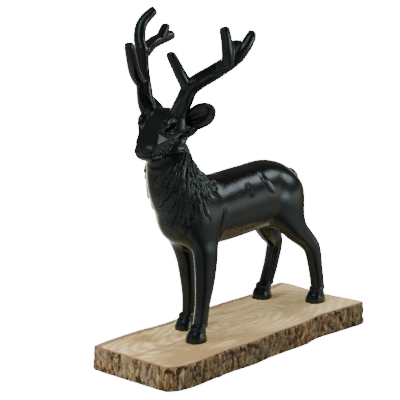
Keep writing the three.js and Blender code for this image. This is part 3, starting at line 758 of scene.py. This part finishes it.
def hoof_relief(points):
    """The cleft between the toes and the rim where the horn begins."""
    height = np.zeros(len(points))
    for _, (x, y) in LEGS:
        near = np.hypot(points[:, 0] - x * MM, points[:, 1] - y * MM) < 14 * MM
        cleft = [(x, y - 9.6, -1), (x, y - 8.6, 6), (x, y - 6.6, 11.5)]
        rim = np.exp(-(((points[:, 2] - HOOF_RIM) / (1.1 * MM)) ** 2))
        groove = np.exp(-(((points[:, 2] - HOOF_GROOVE) / (0.9 * MM)) ** 2))
        relief = stroke(points, cleft, 1.5, -2.2, 0.1) + 0.55 * MM * rim - 0.35 * MM * groove
        height += np.where(near, relief, 0)
    return height


def stag_body():
    parts = [limb("trunk", TRUNK), limb("neck", NECK), limb("tail", TAIL), head_solid()]
    parts += [lump("gullet", *GULLET), rounded_end(TRUNK[0]), rounded_end(TRUNK[-1])]
    parts += [limb("antler_root", root, ANTLER_ACROSS) for root in ANTLER_ROOTS]
    parts += [limb("ear_root", mirrored(EAR_ROOT, side)) for side in (1, -1)]
    parts += [limb("brow", mirrored(BROW, side)) for side in (1, -1)]
    for number, (line, (x, y)) in enumerate(LEGS):
        parts += [limb(f"leg_{number}", line), hoof_solid(f"hoof_{number}", x, y)]
    parts += [lump("muscle", middle, sizes, tilt) for middle, sizes, tilt in MUSCLES]
    for side in (1, -1):
        for (x, y, z), sizes, tilt, yaw in FACE_SIDE:
            parts.append(lump("face", (side * x, y, z), sizes, tilt, side * yaw))
    body = cast("stag_body", parts, BODY_VOXEL)
    draw_onto_flesh(body)
    even_out(body, np.ones(len(body.data.vertices)), 4)
    refine(body, lambda p: (p[:, 2] > 96 * MM) & (p[:, 1] < -36 * MM) | (p[:, 2] < 17 * MM))
    even_out(body, smoothstep(-10 * MM, -2 * MM, head_side(points_of(body))), 5)
    points = points_of(body)
    relief = face_relief(points, normals_of(body)) + carved(points, BODY_LINES, 0.35)
    relief += hoof_relief(points) + fur_strokes(points)
    raise_skin(body, relief + mane_height(points))
    return body


def stag_antlers():
    parts = [limb(name, line, ANTLER_ACROSS) for name, line in ANTLERS.items()]
    parts.append(lump("palm", *PALM))
    antlers = cast("stag_antlers", parts, FINE_VOXEL)
    even_out(antlers, np.ones(len(antlers.data.vertices)), 12)
    refine(antlers, lambda p: np.min([along_line(p, line)[0] for line, _ in RIDGE_BANDS], axis=0) < 5 * MM)
    points = points_of(antlers)
    relief = np.zeros(len(points))
    for line, half_width in RIDGE_BANDS:
        distance, share = along_line(points, line)
        length = sum(math.dist(a, b) for a, b in zip(line[:-1], line[1:])) * MM
        waves = np.sin(share * length / RIDGE_PITCH * 2 * math.pi)
        fade = smoothstep(0, 0.06, share) * smoothstep(0, 0.06, 1 - share)
        relief += RIDGE_HEIGHT * waves * fade * smoothstep(half_width * MM, 0.7 * half_width * MM, distance)
    for groove in BEAM_GROOVES:
        relief += stroke(points, groove, 1.7, -1.3)
    relief += stroke(points, TINE_SEAM, 0.9, 0.5)
    raise_skin(antlers, relief)
    return antlers


def stag_ear(side):
    width = (-side * 0.5, -0.3, 0.8)
    leaf = limb("ear_leaf", mirrored(EAR, side), width)
    hollow = limb("ear_hollow", mirrored(EAR_HOLLOW, side), width)
    apply_modifier(leaf, "BOOLEAN", object=hollow, operation="DIFFERENCE", solver="EXACT")
    bpy.data.objects.remove(hollow)
    ear = cast("stag_ear_left" if side > 0 else "stag_ear_right", [leaf], FINE_VOXEL * 0.8)
    even_out(ear, np.ones(len(ear.data.vertices)), 8)
    points = points_of(ear)
    inside, _ = along_line(points, [(side * x, y + 2, z) for x, y, z, *_ in EAR_HOLLOW])
    front = smoothstep(0.2, 0.7, -normals_of(ear)[:, 1]) * smoothstep(7 * MM, 5 * MM, inside)
    ridges = np.sin(2 * math.pi * (points @ np.array(width) + 0.25 * points[:, 0]) / EAR_FUR_PITCH)
    raise_skin(ear, EAR_FUR_HEIGHT * ridges * front)
    return ear


def settle(piece):
    """Stands a piece of the stag on the slice and flattens its soles."""
    points = points_of(piece) + np.array(STAG_PLACE)
    points[:, 2] = np.maximum(points[:, 2], SLICE_HIGH.z)
    put_points(piece, points)


def add_camera():
    camera = bpy.data.objects.new("camera", bpy.data.cameras.new("camera"))
    bpy.context.scene.collection.objects.link(camera)
    camera.location = CAMERA_AT
    camera.rotation_euler = (Vector(CAMERA_AIM) - Vector(CAMERA_AT)).to_track_quat("-Z", "Y").to_euler()
    camera.data.lens = CAMERA_LENS
    camera.data.clip_start = 0.05
    camera.data.clip_end = 50
    bpy.context.scene.camera = camera


def add_light(name, way, distance, width, height, brightness, colour, on_matt, on_glossy):
    """A soft panel of the given brightness, seen from the figure along `way`."""
    data = bpy.data.lights.new(name, "AREA")
    data.shape = "RECTANGLE"
    data.size = width
    data.size_y = height
    data.energy = brightness * math.pi * width * height
    data.color = colour
    light = bpy.data.objects.new(name, data)
    bpy.context.scene.collection.objects.link(light)
    place = FIGURE_MIDDLE + Vector(way).normalized() * distance
    light.location = place
    light.rotation_euler = (FIGURE_MIDDLE - place).to_track_quat("-Z", "Y").to_euler()
    light.visible_diffuse = on_matt
    light.visible_glossy = on_glossy


def add_floor():
    bpy.ops.mesh.primitive_plane_add(size=30, location=(0, 0, SLICE_LOW.z))
    floor = bpy.context.object
    floor.name = "floor"
    floor.visible_glossy = False
    floor.visible_diffuse = False
    finish = Finish("floor_white")
    finish.set(
        Base_Color=(0.8, 0.8, 0.8, 1), Roughness=0.9, Emission_Color=(*WHITE, 1), Emission_Strength=FLOOR_GLOW
    )
    floor.data.materials.append(finish.material)


def add_room():
    """The room that the lacquer reflects: brightness by height times that by turn, plus the wall."""
    world = bpy.data.worlds.new("studio")
    world.use_nodes = True
    nodes, links = world.node_tree.nodes, world.node_tree.links
    where = nodes.new("ShaderNodeTexCoord").outputs["Generated"]

    def brightness(way, stops):
        share = nodes.new("ShaderNodeVectorMath")
        share.operation = "DOT_PRODUCT"
        links.new(where, share.inputs[0])
        share.inputs[1].default_value = way
        spread = nodes.new("ShaderNodeMapRange")
        spread.inputs["From Min"].default_value = -1
        links.new(share.outputs["Value"], spread.inputs["Value"])
        ramp = nodes.new("ShaderNodeValToRGB")
        while len(ramp.color_ramp.elements) < len(stops):
            ramp.color_ramp.elements.new(0.5)
        highest = max(grey for _, grey in stops)
        for element, (place, grey) in zip(ramp.color_ramp.elements, stops):
            element.position = (place + 1) / 2
            element.color = (grey / highest, grey / highest, grey / highest, 1)
        links.new(spread.outputs["Result"], ramp.inputs["Fac"])
        scaled = nodes.new("ShaderNodeMath")
        scaled.operation = "MULTIPLY"
        links.new(ramp.outputs["Color"], scaled.inputs[0])
        scaled.inputs[1].default_value = highest
        return scaled.outputs["Value"]

    product = nodes.new("ShaderNodeMath")
    product.operation = "MULTIPLY_ADD"
    links.new(brightness((0, 0, 1), ROOM_BY_HEIGHT), product.inputs[0])
    links.new(brightness(ROOM_BAND_WAY, ROOM_BY_TURN), product.inputs[1])
    links.new(brightness(ROOM_RIM_WAY, ROOM_RIM), product.inputs[2])
    links.new(product.outputs["Value"], nodes["Background"].inputs["Strength"])
    nodes["Background"].inputs["Color"].default_value = (*ROOM_COLOUR, 1)
    bpy.context.scene.world = world


def add_studio():
    add_floor()
    add_room()
    for light in LIGHTS:
        add_light(*light)


def slice_outline(count):
    """Points evenly spaced round the outline of the sawn top, and the way out of the wood at each."""
    knots = [(x * SLICE_WIDTH, y * SLICE_LENGTH) for x, y in OUTLINE]
    steps = 24
    looped = smooth_line(knots[-2:] + knots + knots[:3], steps)
    looped = looped[2 * steps : -2 * steps]
    passed = np.concatenate([[0], np.cumsum(norm(np.diff(looped, axis=0), axis=1))])
    even = np.linspace(0, passed[-1], count, endpoint=False)
    line = np.stack([np.interp(even, passed, looped[:, k]) for k in (0, 1)], axis=1)
    along = np.roll(line, -3, axis=0) - np.roll(line, 3, axis=0)
    along /= norm(along, axis=1)[:, None]
    out = np.stack([along[:, 1], -along[:, 0]], axis=1)
    into = -sum(np.roll(out, shift, axis=0) for shift in range(-SLICE_EVEN, SLICE_EVEN + 1))
    return line, out, into / norm(into, axis=1)[:, None]


def rough(point, size, seed=0):
    """Noise from about -1 to 1 with features of the given size."""
    return noise.noise(Vector(point) / size + Vector((seed, seed, seed)))


def bark_relief(x, y, z):
    """How far the bark stands out here, and how dark it is painted from 0 to 1: the fissures' own darker bark
    together with painted shade in the cracks and grooves.
    """
    spot = Vector((x / PLATE_WIDTH, y / PLATE_WIDTH, z / PLATE_HEIGHT))
    spot += 0.22 * noise.noise_vector(spot * 2.3) + 0.1 * noise.noise_vector(spot * 6.1)
    (nearest, second, *_), (middle, *_) = noise.voronoi(spot)
    crack = 1 - float(smoothstep(0.0, 0.16, second - nearest))
    plate = 0.5 + 0.5 * noise.cell(middle * 7.3)
    flute = abs(rough((x, y, z / 5), 1.9 * MM))
    chip = rough((x, y, z / 2), 3.4 * MM, 3)
    grain = rough((x, y, z), 0.9 * MM, 5)
    bulge = 0.8 * plate - 1.3 + 2.4 * min(flute, 0.45) + 0.7 * chip + 0.25 * grain
    height = bulge * MM - FISSURE_DEPTH * crack
    # The dark share paints shade into the cracks and the flute grooves, on top of their own darker bark.
    seam = 1 - float(smoothstep(0.0, 0.14, flute))
    return height, min(1.0, 0.75 * crack + 0.6 * seam + 0.25 * (1 - plate))


def stacked_rings(name, columns, levels):
    """A closed pile of rings, and the column and the level that each of its vertices is in."""
    bpy.ops.mesh.primitive_circle_add(vertices=columns, radius=1, fill_type="NGON")
    piece = bpy.context.object
    piece.name = name
    with editing(piece):
        for _ in range(levels):
            bpy.ops.mesh.extrude_region_move(TRANSFORM_OT_translate={"value": (0, 0, 1)})
    raw = points_of(piece)
    turn = np.arctan2(raw[:, 1], raw[:, 0]) / (2 * math.pi)
    return piece, np.round(turn * columns).astype(int) % columns, np.round(raw[:, 2]).astype(int)


def slice_vertex(step, edge, out, into, rim_width):
    """The vertex this many steps up a column: its place, and shares of painted dark (the fissures' own colour
    with painted shade), inner bark and rim.
    """
    x, y = edge
    thick = SLICE_HIGH.z
    if step == 0:
        # The underside edge takes the full dark share: painted shade under the slice.
        return (*(edge - BARK_UNDER * out), 0), 1, 0, 0
    if step > SLICE_RIM_TOP:
        share = (step - SLICE_RIM_TOP) / (SLICE_LEVELS - SLICE_RIM_TOP)
        spine = np.array((0, np.clip(y, -SPINE_HALF * SLICE_LENGTH, SPINE_HALF * SLICE_LENGTH)))
        rim_edge = edge - CHAMFER_DEPTH * out + rim_width * into
        return (*(rim_edge + share * (spine - rim_edge)), thick), 0, 0, 1
    broken = (0.5 + 0.5 * rough((x, y, 0), 9 * MM, 9)) * BARK_RAGGED
    broken += 0.5 * MM * abs(rough((x, y, 0), 2 * MM, 2))
    worn = 0.75 + 0.5 * rough((x, y, 0), 11 * MM, 4) + 0.25 * rough((x, y, 0), 3 * MM, 6)
    chamfer = CHAMFER_HEIGHT * worn
    wall_top = thick - chamfer
    deep, inner, rim = 0, 0, 0
    if step <= SLICE_WALL_TOP:
        share = (step - 1) / (SLICE_WALL_TOP - 1)
        z = broken + share * (wall_top - broken)
        height, deep = bark_relief(x, y, z)
        height -= 0.8 * MM * (1 - share) ** 6
    elif step <= SLICE_CHAMFER_TOP:
        share = (step - SLICE_WALL_TOP) / (SLICE_CHAMFER_TOP - SLICE_WALL_TOP)
        z = wall_top + share * chamfer
        height, deep = bark_relief(x, y, z)
        height = height * (1 - share) - share * CHAMFER_DEPTH + 0.35 * MM * rough((x, y, z), 1.4 * MM, 8)
        inner = smoothstep(0.0, 0.45, share)
        deep *= 1 - share
    else:
        rim = share = (step - SLICE_CHAMFER_TOP) / (SLICE_RIM_TOP - SLICE_CHAMFER_TOP)
        height = -CHAMFER_DEPTH
        z = thick - 0.9 * MM * abs(rough((x, y, 4 * MM * share), 1.7 * MM, 1)) * (1 - share)
        inner = 1
    return (*(edge + height * out + rim * rim_width * into), z), deep, inner, rim


def log_slice_piece():
    noise.seed_set(BARK_SEED)
    line, out, into = slice_outline(SLICE_COLUMNS)
    piece, columns, steps = stacked_rings("slice_of_log", SLICE_COLUMNS, SLICE_LEVELS)
    widths = RIM_WIDTHS[0] + (RIM_WIDTHS[1] - RIM_WIDTHS[0]) * smoothstep(0.1, 0.8, into[:, 0])
    widths *= np.array([1 + 0.35 * rough((x, y, 0), 7 * MM, 12) for x, y in line])
    placed, deep, inner, rim = [], [], [], []
    for column, step in zip(columns, steps):
        vertex = slice_vertex(step, line[column], out[column], into[column], widths[column])
        for values, value in zip((placed, deep, inner, rim), vertex):
            values.append(value)
    put_points(piece, np.array(placed))
    # The first of these carries the painted dark: the fissures' own colour with painted shade in them and
    # under the slice.
    for name, values in (("fissure_and_shade", deep), ("inner_bark", inner), ("rim", rim)):
        attribute = piece.data.attributes.new(name, "FLOAT", "POINT")
        attribute.data.foreach_set("value", np.array(values, np.float32))
    with editing(piece):
        bpy.ops.mesh.remove_doubles(threshold=0.02 * MM)
        bpy.ops.mesh.dissolve_degenerate(threshold=0.01 * MM)
        bpy.ops.mesh.normals_make_consistent(inside=False)
    piece.data.materials.append(bark())
    piece.data.materials.append(sawn_wood())
    on_top = piece.data.attributes["rim"].data
    for polygon in piece.data.polygons:
        flat = abs(polygon.normal.z) > 0.999
        polygon.use_smooth = not flat
        polygon.material_index = int(flat and min(on_top[v].value for v in polygon.vertices) > 0.99)
    return piece


# Materials, put together from nodes.
class Finish:
    """A material whose nodes are added and joined by name."""

    def __init__(self, name):
        self.material = bpy.data.materials.new(name)
        self.material.use_nodes = True
        self.tree = self.material.node_tree
        self.shader = self.tree.nodes["Principled BSDF"]
        self.where = self.add("TexCoord").outputs["Object"]

    def add(self, kind, inputs=None, **settings):
        node = self.tree.nodes.new("ShaderNode" + kind)
        for key, value in settings.items():
            setattr(node, key, value)
        for key, value in (inputs or {}).items():
            self.join(value, node.inputs[key])
        return node

    def join(self, value, socket):
        if isinstance(value, bpy.types.NodeSocket):
            self.tree.links.new(value, socket)
        else:
            socket.default_value = value

    def stretched(self, scale):
        return self.add("Mapping", {"Vector": self.where, "Scale": scale}).outputs["Vector"]

    def noise(self, scale, detail=4, roughness=0.55, distortion=0.0):
        """Noise on the object's coordinates. `scale` is features per metre along X, Y and Z."""
        inputs = {
            "Vector": self.stretched(scale), "Scale": 1.0, "Detail": detail, "Roughness": roughness,
            "Distortion": distortion,
        }
        return self.add("TexNoise", inputs).outputs["Fac"]

    def math(self, operation, first, second=0.0):
        return self.add("Math", {0: first, 1: second}, operation=operation).outputs[0]

    def ramp(self, value, stops):
        """A colour or grey that follows the value through stops of (place, colour)."""
        node = self.add("ValToRGB", {"Fac": value})
        elements = node.color_ramp.elements
        while len(elements) < len(stops):
            elements.new(0.5)
        for element, (place, colour) in zip(elements, stops):
            element.position = place
            element.color = (*colour, 1) if isinstance(colour, tuple) else (colour, colour, colour, 1)
        return node.outputs["Color"]

    def mix(self, share, first, second):
        node = self.add("Mix", data_type="RGBA")
        self.join(share, node.inputs["Factor"])
        self.join(first if isinstance(first, bpy.types.NodeSocket) else (*first, 1), node.inputs["A"])
        self.join(second if isinstance(second, bpy.types.NodeSocket) else (*second, 1), node.inputs["B"])
        return node.outputs["Result"]

    def attribute(self, name):
        return self.add("Attribute", attribute_name=name).outputs["Fac"]

    def bump(self, height, distance, strength=1.0, onto=None):
        inputs = {"Height": height, "Distance": distance, "Strength": strength}
        if onto:
            inputs["Normal"] = onto
        return self.add("Bump", inputs).outputs["Normal"]

    def set(self, **sockets):
        for key, value in sockets.items():
            self.join(value, self.shader.inputs[key.replace("_", " ")])
        return self.material


def black_lacquer():
    """Satin black lacquer over cast metal, a little uneven, as brushed and dipped lacquer dries."""
    finish = Finish("black_lacquer")
    grain = finish.noise((900, 900, 900), detail=3)
    waves = finish.noise((160, 160, 160), detail=2)
    roughness = finish.ramp(finish.mix(0.5, grain, waves), [(0.3, 0.19), (0.7, 0.3)])
    dents = finish.bump(waves, 0.3 * MM, 0.35)
    skin = finish.bump(grain, 0.012 * MM, 0.4, dents)
    return finish.set(
        Base_Color=LACQUER_BLACK, Specular_Tint=LACQUER_SHEEN, Roughness=roughness, Normal=skin
    )


def sawn_wood():
    """The sawn face: rings drawn out along the slice, fine streaks, brown patches and a paler rear."""
    finish = Finish("sawn_wood")
    warp = finish.noise((18, 9, 18), detail=3)
    scaled = finish.stretched((1 / WOOD_REACH[0], 1 / WOOD_REACH[1], 0))
    from_heart = finish.add("VectorMath", {0: scaled}, operation="LENGTH").outputs["Value"]
    warped = finish.math("ADD", from_heart, finish.math("MULTIPLY", warp, 0.45))
    rings = finish.math("SINE", finish.math("MULTIPLY", warped, WOOD_RINGS))
    ring_tone = finish.ramp(finish.math("MULTIPLY_ADD", rings, 0.5), [(0.0, 0.0), (1.0, 1.0)])
    streak = finish.noise((420, 16, 100), detail=5, roughness=0.65, distortion=0.4)
    patch = finish.noise((38, 15, 20), detail=4, roughness=0.6, distortion=0.8)
    pale = finish.ramp(streak, WOOD_PALE)
    ringed = finish.mix(finish.math("MULTIPLY", ring_tone, 0.7), pale, WOOD_RING)
    brown = finish.ramp(patch, [(0.44, 0.0), (0.6, 1.0)])
    patched = finish.mix(finish.math("MULTIPLY", brown, 0.9), ringed, WOOD_BROWN)
    along = finish.add("SeparateXYZ", {0: finish.stretched((1, 1, 1))}).outputs["Y"]
    rear = finish.add("MapRange", {"Value": along, "From Min": -0.06, "From Max": 0.1}).outputs["Result"]
    colour = finish.mix(finish.math("MULTIPLY", rear, 0.35), patched, WOOD_REAR)
    roughness = finish.ramp(streak, [(0.3, 0.66), (0.7, 0.82)])
    return finish.set(Base_Color=colour, Roughness=roughness, Normal=finish.bump(streak, 0.12 * MM, 0.6))


def bark():
    """Old bark: dark fissures, their own darker bark with painted shade in them, grey and khaki plates, pale
    flecks, and red-brown inner bark at the rim.
    """
    finish = Finish("bark")
    fissure_and_shade = finish.attribute("fissure_and_shade")
    inner = finish.attribute("inner_bark")
    rim = finish.attribute("rim")
    broad = finish.noise((60, 60, 40), detail=3)
    flaky = finish.noise((520, 520, 180), detail=5, roughness=0.7)
    speck = finish.noise((1100, 1100, 600), detail=3, roughness=0.7)
    plates = finish.ramp(flaky, BARK_PLATES)
    tinted = finish.mix(finish.ramp(broad, [(0.42, 0.0), (0.62, 0.6)]), plates, BARK_KHAKI)
    flecked = finish.mix(finish.ramp(speck, [(0.58, 0.0), (0.68, 0.75)]), tinted, BARK_FLECK)
    # Painted shade: fissures, grooves and the underside edge darkened towards near black, with the fissures'
    # own darker bark.
    dark = finish.mix(finish.math("MINIMUM", fissure_and_shade, 0.92), flecked, BARK_FISSURE_AND_SHADE)
    red = finish.ramp(flaky, INNER_BARK_RED)
    band = finish.ramp(rim, INNER_BARK_BAND)
    inside = finish.mix(finish.ramp(rim, [(0.02, 0.0), (0.08, 1.0)]), red, band)
    colour = finish.mix(inner, dark, inside)
    relief = finish.math("ADD", flaky, finish.math("MULTIPLY", speck, 0.5))
    return finish.set(Base_Color=colour, Roughness=0.88, Normal=finish.bump(relief, 0.5 * MM, 0.8))


add_camera()
add_studio()

lacquer = black_lacquer()
for piece in [stag_body(), stag_antlers(), stag_ear(1), stag_ear(-1)]:
    settle(piece)
    for polygon in piece.data.polygons:
        polygon.use_smooth = True
    piece.data.materials.clear()
    piece.data.materials.append(lacquer)
    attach(piece, "root")
    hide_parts("stag_casting")

slab = log_slice_piece()
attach(slab, "root")
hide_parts("log_slice")
